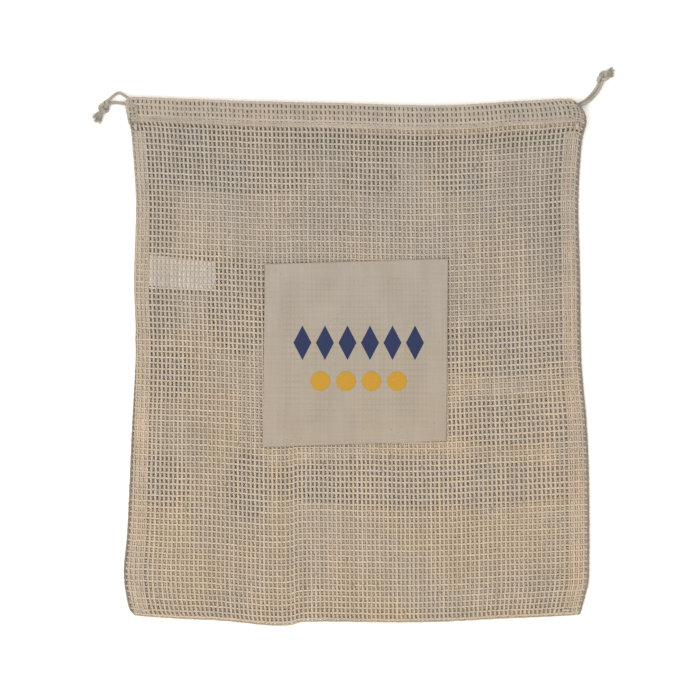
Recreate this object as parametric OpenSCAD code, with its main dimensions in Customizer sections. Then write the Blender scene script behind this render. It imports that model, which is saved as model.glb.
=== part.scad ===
// Flat mesh produce bag with a drawstring channel, a sewn-on cloth patch and two looped drawcords.
// The bag lies on a table: +X across the bag, +Y towards its mouth, +Z up, origin under its middle.
// The net panels are plain plates as thick as the knotted yarn. All sizes are in millimetres.

/* [Bag] */
// Stretches or narrows the outline across the bag
width_scale = 1; // [0.9:0.01:1.1]
// Thickness of one layer of net
net_t = 0.85; // [0.6:0.05:0.9]
// Space between the two nets, which the turned-in seams fill
seam_t = 1.25; // [0.8:0.05:1.25]
// Width of the seam allowance along each side
seam_w = 8.5; // [5:0.5:12]

/* [Channel] */
// Height above the table of the top of the channel
channel_h = 8; // [8:0.1:9]
// Thickness of the turned-in hem layer
hem_t = 0.7; // [0.5:0.05:0.8]
// Y of the hem's stitch row
stitch_y = 157; // [155:0.5:157]
// Width of a row of thread
thread_w = 0.7; // [0.4:0.1:1]
// Thickness of a row of thread
thread_t = 0.3; // [0.2:0.05:0.4]

/* [Drawcords] */
// Diameter of each cotton cord
cord_d = 2; // [1.6:0.1:2]

/* [Patch] */
// Thickness of the patch cloth
cloth_t = 0.4; // [0.3:0.05:0.5]
// Width of the hem turned under all round the patch
patch_hem_w = 10.5; // [6:0.5:14]
// Thickness of the ink on the patch
ink_t = 0.1; // [0.05:0.01:0.15]

/* [Hidden] */

// The outline, from the left mouth corner down, along the bottom, up the right side and back.
LEFT = [
    [-152.5, 171], [-151, 160], [-149, 150], [-146.5, 112], [-146.5, 95], [-148, 52], [-147, 8],
    [-149.5, -52], [-152, -110], [-154.5, -141], [-151.5, -163], [-147.5, -169.5]
];
BOTTOM = [
    [-119, -171.5], [-89, -173], [-60, -175.75], [-44, -175.75], [-30, -173.5], [40, -174],
    [100, -171.5]
];
RIGHT = [
    [148.5, -169], [152.5, -154], [154.5, -141], [154.5, -82], [153, -42], [149.5, 0],
    [148.5, 60], [147.5, 107], [149.5, 144], [152.3, 160], [150, 168], [143.5, 174.5]
];
TOP = [[114, 173.3], [55, 170.2], [-4, 171.5], [-75, 173.2], [-146, 175.75]];

// Heights of the layers, from the table up.
inner_z = net_t;
front_z = inner_z + seam_t;
front_top_z = front_z + net_t;
mid_z = channel_h / 2;
mouth_gap = 0.2;
back_hem_top_z = mid_z - mouth_gap / 2;
front_hem_z = mid_z + mouth_gap / 2;
tunnel_top_z = channel_h - net_t;
stitched_z = front_hem_z + hem_t + 0.1;

// Places along Y in the channel's section.
rise_y = 142;
stitched_y0 = stitch_y - 3;
stitched_y1 = stitch_y + 2.5;
tunnel_y = stitched_y1 + 1.7;
far_y = 200;

// The inner hem stops short of both mouths, where the cords turn round.
hem_end_x = 132;
mouth_x = 145;

// The patch, slightly askew, with its corners counter-clockwise from the lower left.
PATCH = [[-62.5, -57], [60, -53], [61, 68.5], [-61, 65]];
patch_z = front_top_z + cloth_t;
ink_z = patch_z + cloth_t;
patch_seam_in = 2;

// A plain motif: a row of lozenges over a row of discs.
lozenges = 6;
lozenge_pitch = 15;
lozenge_w = 12;
lozenge_h = 23;
lozenge_y = 12.5;
discs = 4;
disc_pitch = 17;
disc_r = 6.5;
disc_y = -13;
motif_x = 1.5;

LABEL = [[-138.5, 50.5], [-95.5, 47], [-93.5, 66.5], [-138.5, 71.5]];
label_z = inner_z + 0.4;
label_t = 0.3;

// Each drawcord: from its knot, in through its own mouth, along the channel, round the far
// mouth, back along the other side of the channel, and out to the knot again.
run_hi_y = 168;
run_lo_y = 162.5;
run_front_z = tunnel_top_z - cord_d / 2 - 0.15;
run_back_z = net_t + cord_d / 2 + 0.15;
turn_steps = 6;
LEFT_OUT = [
    [-166.5, 173, 3], [-165, 174.8, 2.6], [-162.7, 176.8, 2.3], [-160.5, 178.6, 2.2],
    [-158.5, 179.2, 2.5], [-156.2, 178.4, 3], [-154, 176.9, 3.7], [-151.5, 175.3, 4.5],
    [-147.5, 172.6, 5.2], [-143, 170, 5.7], [-138, 168.5, 5.9], [-133, 168, 6]
];
LEFT_BACK = [
    [-135, 162.5, 2], [-141, 163, 2], [-145, 165, 2], [-149, 168.6, 2], [-152.5, 171.2, 2],
    [-155.5, 172.2, 1.6], [-158.5, 172.6, 1.2], [-162, 172.8, 1.1], [-165.5, 172.4, 1.8]
];
RIGHT_OUT = [
    [164, 187.5, 2.6], [163, 184, 2.1], [161, 180.2, 2.2], [158, 176.5, 2.6],
    [154.5, 173.3, 3], [151, 171.5, 3.6], [148, 170, 4.4], [144.8, 166.8, 5.2],
    [141, 164.2, 5.8], [137, 162.9, 6], [133, 162.5, 6]
];
RIGHT_BACK = [
    [136, 168, 2], [141, 168.4, 2], [145, 169.7, 1.9], [148.5, 171.6, 1.7], [151.5, 173.3, 1.4],
    [154.5, 175.6, 1.2], [157.5, 178.8, 1.2], [160, 182.3, 1.3], [162, 186, 1.8]
];
left_turn_x = 134;
right_turn_x = -136;
tube_sides = 8;
knot_size = 1.2;
knot_tube_r = 0.75;
knot_rise = 1.3;

$fn = 48;

function reversed(list) = [for (i = [len(list) - 1:-1:0]) list[i]];
function scaled(points) = [for (p = points) [p[0] * width_scale, p[1]]];
function shifted(points, dx, dy) = [for (p = points) [p[0] + dx, p[1] + dy]];
function unit(v) = v / norm(v);
function middle(points) = [
    for (axis = [0:1]) (points[0][axis] + points[1][axis] + points[2][axis] + points[3][axis]) / 4
];

// The four corners of a quadrilateral, each moved by `inset` towards the middle on both axes.
function inset_quad(points, inset) = [
    for (p = points) [
        p[0] - sign(p[0] - middle(points)[0]) * inset,
        p[1] - sign(p[1] - middle(points)[1]) * inset
    ]
];

// Half a turn of cord at x, bulging towards `side`, from (y0, front) round to (y1, back).
function turn(x, side, y0, y1) = let (
    mid_y = (y0 + y1) / 2,
    mid_run_z = (run_front_z + run_back_z) / 2,
    half_z = (run_front_z - run_back_z) / 2,
    radius = norm([y0 - y1, 2 * half_z]) / 2
) [
    for (i = [0:turn_steps]) let (a = 180 * i / turn_steps)
        [x + side * radius * sin(a), mid_y + (y0 - mid_y) * cos(a), mid_run_z + half_z * cos(a)]
];

// One ring of a tube of radius r round point i of a route.
function ring(route, i, r) = let (
    last = len(route) - 1,
    along = unit(route[min(i + 1, last)] - route[max(i - 1, 0)]),
    across = unit(cross([0, 0, 1], along)),
    up = cross(along, across)
) [
    for (k = [0:tube_sides - 1]) let (a = 360 * k / tube_sides)
        route[i] + r * (cos(a) * across + sin(a) * up)
];

module tube(route) {
    n = tube_sides;
    points = [for (i = [0:len(route) - 1]) each ring(route, i, cord_d / 2)];
    walls = [
        for (i = [0:len(route) - 2], k = [0:n - 1])
            [i * n + k, i * n + (k + 1) % n, (i + 1) * n + (k + 1) % n, (i + 1) * n + k]
    ];
    first = [[for (k = [n - 1:-1:0]) k]];
    end = [[for (k = [0:n - 1]) (len(route) - 1) * n + k]];
    polyhedron(points, [for (f = concat(walls, first, end)) reversed(f)], convexity = 10);
}

module outline() {
    polygon(scaled(concat(LEFT, BOTTOM, RIGHT, TOP)));
}

// A plate of the bag's outline whose section across the bag is `section`, in Y and Z.
module sheet(section) {
    intersection() {
        translate([0, 0, -1]) linear_extrude(channel_h + 2) outline();
        rotate([90, 0, 90]) translate([0, 0, -far_y]) linear_extrude(2 * far_y) polygon(section);
    }
}

module x_band(x0, x1) {
    intersection() {
        children();
        translate([x0, -far_y, -1]) cube([x1 - x0, 2 * far_y, channel_h + 2]);
    }
}

// A strip along one side of the bag, between two distances in from its edge.
module side_strip(points, side, in0, in1) {
    edge = scaled(points);
    polygon(concat(shifted(edge, -side * in0, 0), reversed(shifted(edge, -side * in1, 0))));
}

// The net folded over at the top edge, between two heights.
module top_fold(z0, z1) {
    edge = scaled(concat([RIGHT[len(RIGHT) - 1]], TOP));
    x_band(-hem_end_x, hem_end_x)
        translate([0, 0, z0]) linear_extrude(z1 - z0)
            polygon(concat(edge, reversed(shifted(edge, 0, -net_t))));
}

// Leaves the plate open above the tunnel near each mouth, where the mouth hems go.
module without_mouths(z) {
    difference() {
        children();
        for (x = [-far_y, mouth_x])
            translate([x, tunnel_y, z]) cube([far_y - mouth_x, far_y, 2 * net_t]);
    }
}

module back_net() {
    color("#b5a58f") without_mouths(-0.5) sheet([
        [-far_y, 0], [far_y, 0], [far_y, net_t], [-far_y, net_t]
    ]);
}

module front_net() {
    bottom = scaled(concat([LEFT[len(LEFT) - 1]], BOTTOM, [RIGHT[0]]));
    color("#bcab94") union() {
        without_mouths(tunnel_top_z - 0.5) sheet([
            [-far_y, front_z], [rise_y, front_z], [stitched_y0, stitched_z],
            [stitched_y1, stitched_z], [tunnel_y, tunnel_top_z], [far_y, tunnel_top_z],
            [far_y, channel_h], [tunnel_y, channel_h], [stitched_y1, stitched_z + net_t],
            [stitched_y0, stitched_z + net_t], [rise_y, front_top_z], [-far_y, front_top_z]
        ]);
        translate([0, 0, inner_z]) linear_extrude(front_top_z - inner_z)
            polygon(concat(bottom, reversed(shifted(bottom, 0, net_t))));
    }
}

module back_hem() {
    color("#bf9f80") union() {
        x_band(-hem_end_x, hem_end_x) sheet([
            [stitched_y0 - 2, inner_z], [stitched_y1, inner_z],
            [tunnel_y, back_hem_top_z - hem_t], [far_y, back_hem_top_z - hem_t],
            [far_y, back_hem_top_z], [tunnel_y, back_hem_top_z],
            [stitched_y1, inner_z + hem_t], [stitched_y0 - 2, inner_z + hem_t]
        ]);
        top_fold(inner_z, back_hem_top_z);
    }
}

module front_hem() {
    color("#c2a284") union() {
        x_band(-hem_end_x, hem_end_x) sheet([
            [stitched_y0, front_hem_z], [far_y, front_hem_z], [far_y, front_hem_z + hem_t],
            [tunnel_y, front_hem_z + hem_t], [stitched_y1, stitched_z], [stitched_y0, stitched_z]
        ]);
        top_fold(front_hem_z, tunnel_top_z);
    }
}

// Fills the space between the two nets along a side, under the sloping net near the channel.
module between_nets(points, side, in0, in1) {
    intersection() {
        translate([0, 0, -1]) linear_extrude(channel_h) side_strip(points, side, in0, in1);
        rotate([90, 0, 90]) translate([0, 0, -far_y]) linear_extrude(2 * far_y) polygon([
            [-168, inner_z], [stitched_y1, inner_z], [stitched_y1, stitched_z],
            [stitched_y0, stitched_z], [rise_y, front_z], [-168, front_z]
        ]);
    }
}

module seam_allowance(points, side) {
    color("#c8ab96") between_nets(points, side, 1.4, seam_w);
}

module seam_stitching(points, side) {
    color("#d6cab8") between_nets(points, side, 0.4, 1.4);
}

module hem_stitching(z) {
    color("#d9cdbb") translate([-hem_end_x, stitch_y - thread_w / 2, z])
        cube([2 * hem_end_x, thread_w, thread_t]);
}

// The doubled net at one end of the channel: a front and a back plate, open between them.
module mouth_hem(side) {
    x0 = side < 0 ? -far_y : mouth_x;
    color("#c4ab8f") intersection() {
        union() for (z = [0, tunnel_top_z])
            translate([0, 0, z]) linear_extrude(net_t) outline();
        translate([x0, tunnel_y, -1]) cube([far_y - mouth_x, far_y, channel_h + 2]);
    }
}

// A short dense row of stitches that stops the seam tearing at the foot of the mouth.
module mouth_bartack(side) {
    color("#ddd2c2") translate([side * 147 - 1.2, stitched_y0 + 0.5, stitched_z + net_t])
        cube([2.4, 4.5, thread_t]);
}

module seam_end_bartacks() {
    color("#ddd2c2") for (side = [-1, 1])
        translate([side * 140 - 2.5, -166.5, front_top_z]) cube([5, 1.5, thread_t]);
}

module patch() {
    color("#b9ab9a") translate([0, 0, patch_z]) linear_extrude(cloth_t) polygon(PATCH);
}

module patch_hem() {
    color("#b3a592") translate([0, 0, front_top_z]) linear_extrude(cloth_t) difference() {
        polygon(PATCH);
        polygon(inset_quad(PATCH, patch_hem_w));
    }
}

module patch_stitching() {
    color("#cfc3b3") translate([0, 0, ink_z]) linear_extrude(thread_t) difference() {
        polygon(inset_quad(PATCH, patch_seam_in));
        polygon(inset_quad(PATCH, patch_seam_in + thread_w));
    }
}

module print_navy() {
    color("#2b365f") for (i = [0:lozenges - 1])
        translate([motif_x + (i - (lozenges - 1) / 2) * lozenge_pitch, lozenge_y, ink_z])
            linear_extrude(ink_t) polygon([
                [-lozenge_w / 2, 0], [0, -lozenge_h / 2], [lozenge_w / 2, 0], [0, lozenge_h / 2]
            ]);
}

module print_ochre() {
    color("#d4a030") for (i = [0:discs - 1])
        translate([motif_x + (i - (discs - 1) / 2) * disc_pitch, disc_y, ink_z])
            cylinder(r = disc_r, h = ink_t);
}

module care_label() {
    color("#d8cfc6") translate([0, 0, label_z]) linear_extrude(label_t) polygon(LABEL);
}

module left_drawcord() {
    color("#b9ad9b")
        tube(concat(LEFT_OUT, turn(left_turn_x, 1, run_hi_y, run_lo_y), LEFT_BACK));
}

module right_drawcord() {
    color("#b9ad9b")
        tube(concat(RIGHT_OUT, turn(right_turn_x, -1, run_lo_y, run_hi_y), RIGHT_BACK));
}

// An overhand knot, drawn tight: the cord crosses itself three times round a closed path.
module knot(heading) {
    n = tube_sides;
    steps = 48;
    path = [
        for (i = [0:steps - 1]) let (t = 360 * i / steps) knot_size * [
            sin(t) + 2 * sin(2 * t), cos(t) - 2 * cos(2 * t), -knot_rise * sin(3 * t)
        ]
    ];
    rings = [
        for (i = [0:steps - 1])
            each ring([path[(i + steps - 1) % steps], path[i], path[(i + 1) % steps]], 1, knot_tube_r)
    ];
    walls = [
        for (i = [0:steps - 1], k = [0:n - 1]) let (next = (i + 1) % steps)
            [i * n + k, i * n + (k + 1) % n, next * n + (k + 1) % n, next * n + k]
    ];
    color("#b3a692") rotate([0, 0, heading])
        polyhedron(rings, [for (f = walls) reversed(f)], convexity = 10);
}

// A frayed tail: a cone that opens out from the knot, lying in the plane of the table.
module tail(heading, length, wide) {
    rotate([0, 0, heading]) rotate([0, 90, 0]) cylinder(r1 = cord_d / 2, r2 = wide, h = length);
}

module left_knot() {
    translate([-168.2, 169.8, 2.4]) knot(245);
}

module right_knot() {
    translate([164.5, 189.8, 2.4]) knot(40);
}

module left_cord_ends() {
    color("#b3a795") {
        translate([-169.5, 166.8, 2.6]) tail(215, 8.5, 2.4);
        translate([-169.3, 166.2, 2.5]) tail(256, 8, 2.2);
    }
}

module right_cord_ends() {
    color("#aea08d") {
        translate([166, 191.5, 2.6]) tail(48, 6.5, 1.8);
        translate([166, 190.5, 2.6]) tail(-8, 5.5, 2.2);
    }
}

back_net();
front_net();
back_hem();
front_hem();
seam_allowance(LEFT, -1);  // left_seam_allowance
seam_allowance(RIGHT, 1);  // right_seam_allowance
seam_stitching(LEFT, -1);  // left_seam_stitching
seam_stitching(RIGHT, 1);  // right_seam_stitching
hem_stitching(inner_z + hem_t);  // back_hem_stitching
hem_stitching(stitched_z + net_t);  // front_hem_stitching
mouth_hem(-1);  // left_mouth_hem
mouth_hem(1);  // right_mouth_hem
mouth_bartack(-1);  // left_mouth_bartack
mouth_bartack(1);  // right_mouth_bartack
seam_end_bartacks();
patch();
patch_hem();
patch_stitching();
print_navy();
print_ochre();
care_label();
left_drawcord();
right_drawcord();
left_knot();
right_knot();
left_cord_ends();
right_cord_ends();
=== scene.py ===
"""Mesh produce bag lying flat: an open cotton net bag with a sewn drawstring channel, built yarn by yarn.

Shapes are worked out in millimetres, with the bag's front facing +Z and its mouth towards +Y, and turned
into metres when a mesh is made. Heights are above the table the bag lies on.
"""
import math

import bpy
import numpy as np
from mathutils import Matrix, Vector


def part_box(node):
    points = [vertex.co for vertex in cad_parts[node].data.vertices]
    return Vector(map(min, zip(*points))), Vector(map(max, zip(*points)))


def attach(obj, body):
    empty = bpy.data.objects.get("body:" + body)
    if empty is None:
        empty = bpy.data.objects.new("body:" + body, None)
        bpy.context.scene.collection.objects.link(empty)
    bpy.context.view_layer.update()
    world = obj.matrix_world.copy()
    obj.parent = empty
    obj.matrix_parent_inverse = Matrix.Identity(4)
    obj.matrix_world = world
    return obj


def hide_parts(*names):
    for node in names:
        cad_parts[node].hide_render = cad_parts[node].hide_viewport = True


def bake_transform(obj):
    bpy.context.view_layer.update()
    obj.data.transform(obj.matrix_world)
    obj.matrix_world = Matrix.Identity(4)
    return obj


MM = 0.001

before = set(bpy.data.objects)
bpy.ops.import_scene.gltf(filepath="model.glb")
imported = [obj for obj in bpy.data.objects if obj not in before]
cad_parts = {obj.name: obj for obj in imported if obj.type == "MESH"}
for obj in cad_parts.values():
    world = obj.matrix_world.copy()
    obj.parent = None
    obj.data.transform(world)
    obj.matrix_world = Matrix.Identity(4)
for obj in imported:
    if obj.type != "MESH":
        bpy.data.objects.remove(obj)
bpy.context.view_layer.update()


# ---------------------------------------------------------------- sizes

# Outline of the bag as it lies, from the bottom corners up and from left to right
LEFT = [(-147.5, -169.5), (-151.5, -163), (-154.5, -141), (-152, -110), (-149.5, -52), (-147, 8), (-148, 52),
        (-146.5, 95), (-146.5, 112), (-149, 150), (-151, 160), (-152.5, 171), (-151.5, 174.5)]
RIGHT = [(148.5, -169), (152.5, -154), (154.5, -141), (154.5, -82), (153, -42), (149.5, 0), (148.5, 60),
         (147.5, 107), (149.5, 144), (152.3, 160), (150, 168), (147, 171.8)]
BOTTOM = [(-147.5, -169.5), (-119, -171.5), (-89, -173), (-60, -175.75), (-44, -175.75), (-30, -173.5),
          (40, -174), (100, -171.5), (148.5, -169)]
TOP = [(-151.5, 174.5), (-146, 175.75), (-75, 173.2), (-4, 171.5), (55, 170.2), (114, 173.3), (141, 174.6),
       (147, 171.8)]

# The net: twisted pairs of warp yarns run up the bag, single wefts run across
COLUMNS = 106
ROWS = 91
HEM_ROWS = 6
WARP_R = 0.33
WARP_WIDE = 0.48
WARP_SWING = 0.36
WARP_LIFT = 0.34
WEFT_WIDE = 0.66
WEFT_THICK = 0.34
SIDE_PULL = 6           # how quickly the sides' waviness dies away towards the middle
FRONT_PHASE = 0.65
BACK_PHASE = 0.15

# Heights of the layers
FRONT_Z = 3.15
BACK_Z = 2.4
EDGE_FRONT_Z = 2.35
EDGE_BACK_Z = 0.72
CHANNEL_FRONT_Z = 7.6
CHANNEL_FRONT_HEM_Z = 5.7
CHANNEL_BACK_Z = 0.56
CHANNEL_BACK_HEM_Z = 3.6
BAND_DROP = 14.2        # the sewn band, below the top edge
HEM_DEPTH = 23.5        # raw edge of the hem allowance, below the top edge

# Drawcords
CORD_D = 2.0
CORD_TWIST = 6.2        # length of one turn of the three strands
RUN_HI_Y = 168
RUN_LO_Y = 162.5
RUN_FRONT_Z = 6
RUN_BACK_Z = 2
LEFT_TURN_X = 134
RIGHT_TURN_X = -136

# Sewn-on parts
PATCH = [(-62.5, -57), (60, -53), (61, 68.5), (-61, 65)]
PATCH_HEM = 10.5
LABEL = [(-138.5, 50.5), (-95.5, 47), (-93.5, 66.5), (-138.5, 71.5)]
MOTIF_X = 1.5


# ---------------------------------------------------------------- lines

def even(line, step):
    """The same line with its points evenly spaced, step apart or nearly."""
    run = np.r_[0, np.cumsum(np.linalg.norm(np.diff(line, axis=0), axis=1))]
    stations = np.linspace(0, run[-1], max(2, int(round(run[-1] / step)) + 1))
    return np.stack([np.interp(stations, run, line[:, i]) for i in range(line.shape[1])], -1)


def smooth(points, step=0.7):
    """A smooth line through points."""
    p = np.asarray(points, float)
    p = np.vstack([2 * p[0] - p[1], p, 2 * p[-1] - p[-2]])
    t = np.linspace(0, 1, 13)[:-1, None]
    spans = [0.5 * (2 * b + (c - a) * t + (2 * a - 5 * b + 4 * c - d) * t ** 2
                    + (3 * b - a - 3 * c + d) * t ** 3)
             for a, b, c, d in zip(p, p[1:], p[2:], p[3:])]
    return even(np.vstack(spans + [p[-2:-1]]), step)


def share(line, t):
    """Points at shares t, 0 to 1, of a line's length."""
    run = np.r_[0, np.cumsum(np.linalg.norm(np.diff(line, axis=0), axis=1))]
    return np.stack([np.interp(t * run[-1], run, line[:, i]) for i in range(line.shape[1])], -1)


def step_up(x, low, high):
    """0 below low, 1 above high, smooth between."""
    t = np.clip((x - low) / (high - low), 0, 1)
    return t * t * (3 - 2 * t)


def wander(x, y, size, seed):
    """A smooth field between about -1 and 1 whose features are about size across."""
    rng = np.random.default_rng(seed)
    total = np.zeros(np.broadcast(x, y).shape)
    for _ in range(7):
        heading, phase = rng.uniform(0, 2 * math.pi, 2)
        k = 2 * math.pi / (size * rng.uniform(0.8, 2.2))
        total += np.sin(k * (x * math.cos(heading) + y * math.sin(heading)) + phase)
    return total / 3.2


# ---------------------------------------------------------------- meshes

def tube_faces(tubes, rings, sides):
    """Quads and end caps of tubes, each of rings x sides points, numbered tube by tube."""
    ring = np.arange(rings - 1)[:, None] * sides
    a, b = ring + np.arange(sides), ring + (np.arange(sides) + 1) % sides
    quads = np.stack([a, b, b + sides, a + sides], -1).reshape(-1, 4)
    first = np.arange(tubes)[:, None, None] * rings * sides
    caps = np.stack([np.arange(sides)[::-1], np.arange(sides) + (rings - 1) * sides])
    return [(quads + first).reshape(-1, 4), (caps + first).reshape(-1, sides)]


def tubes_part(rings, slot=0):
    """A part made of capped tubes, from points shaped (..., rings, sides, 3)."""
    count = int(np.prod(rings.shape[:-3]))
    return rings.reshape(-1, 3), tube_faces(count, rings.shape[-3], rings.shape[-2]), slot


def piece(name, parts, materials, body=None, nodes=()):
    """A smooth-shaded mesh object. Each part is (points in mm, [faces as index arrays], material number)."""
    points, corners, sizes, slots, start = [], [], [], [], 0
    for verts, groups, material in parts:
        points.append(np.asarray(verts, float) * MM)
        for faces in groups:
            corners.append((faces + start).ravel())
            sizes.append(np.full(len(faces), faces.shape[1]))
            slots.append(np.full(len(faces), material))
        start += len(verts)
    points, corners = np.vstack(points), np.concatenate(corners)
    sizes, slots = np.concatenate(sizes), np.concatenate(slots)
    mesh = bpy.data.meshes.new(name)
    mesh.vertices.add(len(points))
    mesh.vertices.foreach_set("co", points.astype(np.float32).ravel())
    mesh.loops.add(len(corners))
    mesh.loops.foreach_set("vertex_index", corners.astype(np.int32))
    mesh.polygons.add(len(sizes))
    mesh.polygons.foreach_set("loop_start", np.r_[0, np.cumsum(sizes)[:-1]].astype(np.int32))
    mesh.polygons.foreach_set("use_smooth", np.ones(len(sizes), bool))
    mesh.polygons.foreach_set("material_index", slots.astype(np.int32))
    for material in materials:
        mesh.materials.append(material)
    mesh.update(calc_edges=True)
    made = bpy.data.objects.new(name, mesh)
    bpy.context.scene.collection.objects.link(made)
    if body:
        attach(made, body)
    if nodes:
        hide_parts(*nodes)
    return made


def frames(line):
    """Unit directions at each point of a line: along it, and two across it that turn as little as they can."""
    along = np.gradient(line, axis=0)
    along /= np.linalg.norm(along, axis=1, keepdims=True)
    side = np.zeros_like(line)
    first = np.cross(along[0], (0, 0, 1.0) if abs(along[0, 2]) < 0.9 else (1.0, 0, 0))
    side[0] = first / np.linalg.norm(first)
    for i in range(1, len(line)):
        s = side[i - 1] - along[i] * (side[i - 1] @ along[i])
        side[i] = s / np.linalg.norm(s)
    return along, side, np.cross(along, side)


def tube(line, radius, sides=6):
    """Rings of a round tube along a line, with one radius or one per point."""
    _, a, b = frames(line)
    turn = np.linspace(0, 2 * math.pi, sides, endpoint=False)[None, :, None]
    r = np.broadcast_to(radius, (len(line),))[:, None, None]
    return line[:, None] + r * (a[:, None] * np.cos(turn) + b[:, None] * np.sin(turn))


def rope(line, diameter, turn_length=CORD_TWIST, phase=0.0, taper=None):
    """A part made of a rope: three strands laid together, as one closed skin with a groove between each pair."""
    _, a, b = frames(line)
    run = np.r_[0, np.cumsum(np.linalg.norm(np.diff(line, axis=0), axis=1))]
    strand = diameter * 0.28
    lobe = np.radians([-78, -38, 0, 38, 78])
    turn = np.concatenate([2 * math.pi * k / 3 + np.arctan2(strand * np.sin(lobe), diameter / 2 - strand
                                                            + strand * np.cos(lobe)) for k in range(3)])
    reach = np.tile(np.hypot(strand * np.sin(lobe), diameter / 2 - strand + strand * np.cos(lobe)), 3)
    spin = (2 * math.pi * run / turn_length + phase)[:, None] + turn[None]
    size = reach[None] * (np.ones(len(line)) if taper is None else taper)[:, None]
    return tubes_part(line[:, None] + a[:, None] * (size * np.cos(spin))[..., None]
                      + b[:, None] * (size * np.sin(spin))[..., None])


# ---------------------------------------------------------------- materials

class Shader:
    """A principled material with short calls for the nodes that feed it."""

    def __init__(self, name, roughness, sheen, sheen_tint):
        self.material = bpy.data.materials.new(name)
        self.material.use_nodes = True
        self.tree = self.material.node_tree
        self.surface = self.tree.nodes["Principled BSDF"]
        self.surface.inputs["Roughness"].default_value = roughness
        self.surface.inputs["Specular IOR Level"].default_value = 0.15
        self.surface.inputs["Sheen Weight"].default_value = sheen
        self.surface.inputs["Sheen Roughness"].default_value = 0.6
        self.surface.inputs["Sheen Tint"].default_value = (*sheen_tint, 1)
        self.place = self.tree.nodes.new("ShaderNodeTexCoord").outputs["Object"]

    def node(self, kind, settings=(), **inputs):
        made = self.tree.nodes.new("ShaderNode" + kind)
        for key, value in dict(settings).items():
            setattr(made, key, value)
        for key, value in inputs.items():
            socket = made.inputs[int(key[1:])] if key[0] == "i" and key[1:].isdigit() else made.inputs[key]
            if isinstance(value, bpy.types.NodeSocket):
                self.tree.links.new(value, socket)
            else:
                socket.default_value = value
        return made

    def scaled(self, x, y, z):
        return self.node("Mapping", Vector=self.place, Scale=(x, y, z)).outputs["Vector"]

    def noise(self, vector, scale, detail=2.0, roughness=0.5):
        return self.node("TexNoise", Vector=vector, Scale=scale, Detail=detail,
                         Roughness=roughness).outputs["Fac"]

    def ramp(self, value, low, high, to_low, to_high):
        made = self.node("MapRange", {"interpolation_type": "SMOOTHSTEP"}, Value=value)
        for key, number in {"From Min": low, "From Max": high, "To Min": to_low, "To Max": to_high}.items():
            made.inputs[key].default_value = number
        return made.outputs["Result"]

    def math(self, operation, a, b):
        return self.node("Math", {"operation": operation}, i0=a, i1=b).outputs[0]

    def mix(self, fac, a, b, blend="MIX"):
        made = self.node("Mix", {"data_type": "RGBA", "blend_type": blend})
        for socket, value in ((made.inputs[0], fac), (made.inputs[6], a), (made.inputs[7], b)):
            if isinstance(value, bpy.types.NodeSocket):
                self.tree.links.new(value, socket)
            elif isinstance(value, tuple):
                socket.default_value = (*value, 1)
            else:
                socket.default_value = value
        return made.outputs[2]

    def shade(self, colour, value):
        """colour made lighter or darker by a number that varies over the surface"""
        made = self.node("VectorMath", {"operation": "SCALE"}, i0=colour)
        self.tree.links.new(value, made.inputs["Scale"])
        return made.outputs[0]

    def finish(self, colour, height=None, strength=0.3, distance=0.0002):
        self.tree.links.new(colour, self.surface.inputs["Base Color"])
        if height is not None:
            bump = self.node("Bump", Height=height, Strength=strength, Distance=distance)
            self.tree.links.new(bump.outputs["Normal"], self.surface.inputs["Normal"])
        return self.material


REFLECTED = 0.76


def linear(r, g, b):
    """How much of each colour a surface reflects, from 0-255 screen values, in this scene's bright light."""
    return tuple(REFLECTED * (c / 12.92 if c <= 0.04045 else ((c + 0.055) / 1.055) ** 2.4)
                 for c in (r / 255, g / 255, b / 255))


def yarn(name, cool, warm, streaks, fibres=(2600, 500, 2600), channel_tone=1.0):
    """Undyed cotton yarn: greyer towards the mouth, warmer towards the bottom, with slubs and brown flecks.
    It is darker at the channel, where its colour is scaled by channel_tone."""
    s = Shader(name, roughness=0.92, sheen=0.25, sheen_tint=(0.95, 0.88, 0.78))
    height = s.node("SeparateXYZ", Vector=s.place).outputs["Y"]
    cloud = s.noise(s.place, 22, 2)
    warmth = s.math("ADD", s.ramp(height, 0.16, -0.09, 0.0, 0.75), s.ramp(cloud, 0.35, 0.65, -0.2, 0.25))
    colour = s.mix(s.node("Clamp", Value=warmth).outputs[0], cool, warm)
    if channel_tone != 1:
        colour = s.shade(colour, s.ramp(height, 0.153, 0.165, 1.0, channel_tone))
    colour = s.shade(colour, s.ramp(s.noise(s.scaled(*streaks), 1.0, 3), 0.3, 0.7, 0.88, 1.12))
    fleck = s.ramp(s.noise(s.scaled(420, 190, 420), 1.0, 1), 0.70, 0.76, 0.0, 0.55)
    colour = s.mix(fleck, colour, linear(128, 98, 70))
    fibre = s.noise(s.scaled(*fibres), 1.0, 4, 0.65)
    colour = s.shade(colour, s.ramp(fibre, 0.3, 0.7, 0.86, 1.1))
    return s.finish(colour, fibre, strength=0.45, distance=0.00012)


WARP = yarn("warp_yarn", linear(174, 163, 149), linear(190, 171, 147), (330, 9, 40), channel_tone=0.89)
WEFT = yarn("weft_yarn", linear(176, 165, 150), linear(192, 172, 146), (12, 260, 40), (500, 2600, 2600),
            channel_tone=0.89)
ROPE = yarn("cord_yarn", linear(158, 151, 141), linear(158, 151, 141), (90, 90, 90), (1500, 1500, 1500))
THREAD = yarn("sewing_thread", linear(180, 170, 156), linear(182, 169, 150), (60, 60, 60), (2400, 2400, 2400))
TURNED = yarn("turned_in_yarn", linear(198, 180, 161), linear(203, 181, 156), (120, 60, 40))
# Darker yarn for the outermost warp columns and the right mouth's roll: painted shade along the bag's outline, on the
# side away from the key lamp
EDGE_SHADE = yarn("edge_yarn_painted_shade", linear(128, 119, 108), linear(132, 119, 103), (330, 9, 40))
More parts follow.
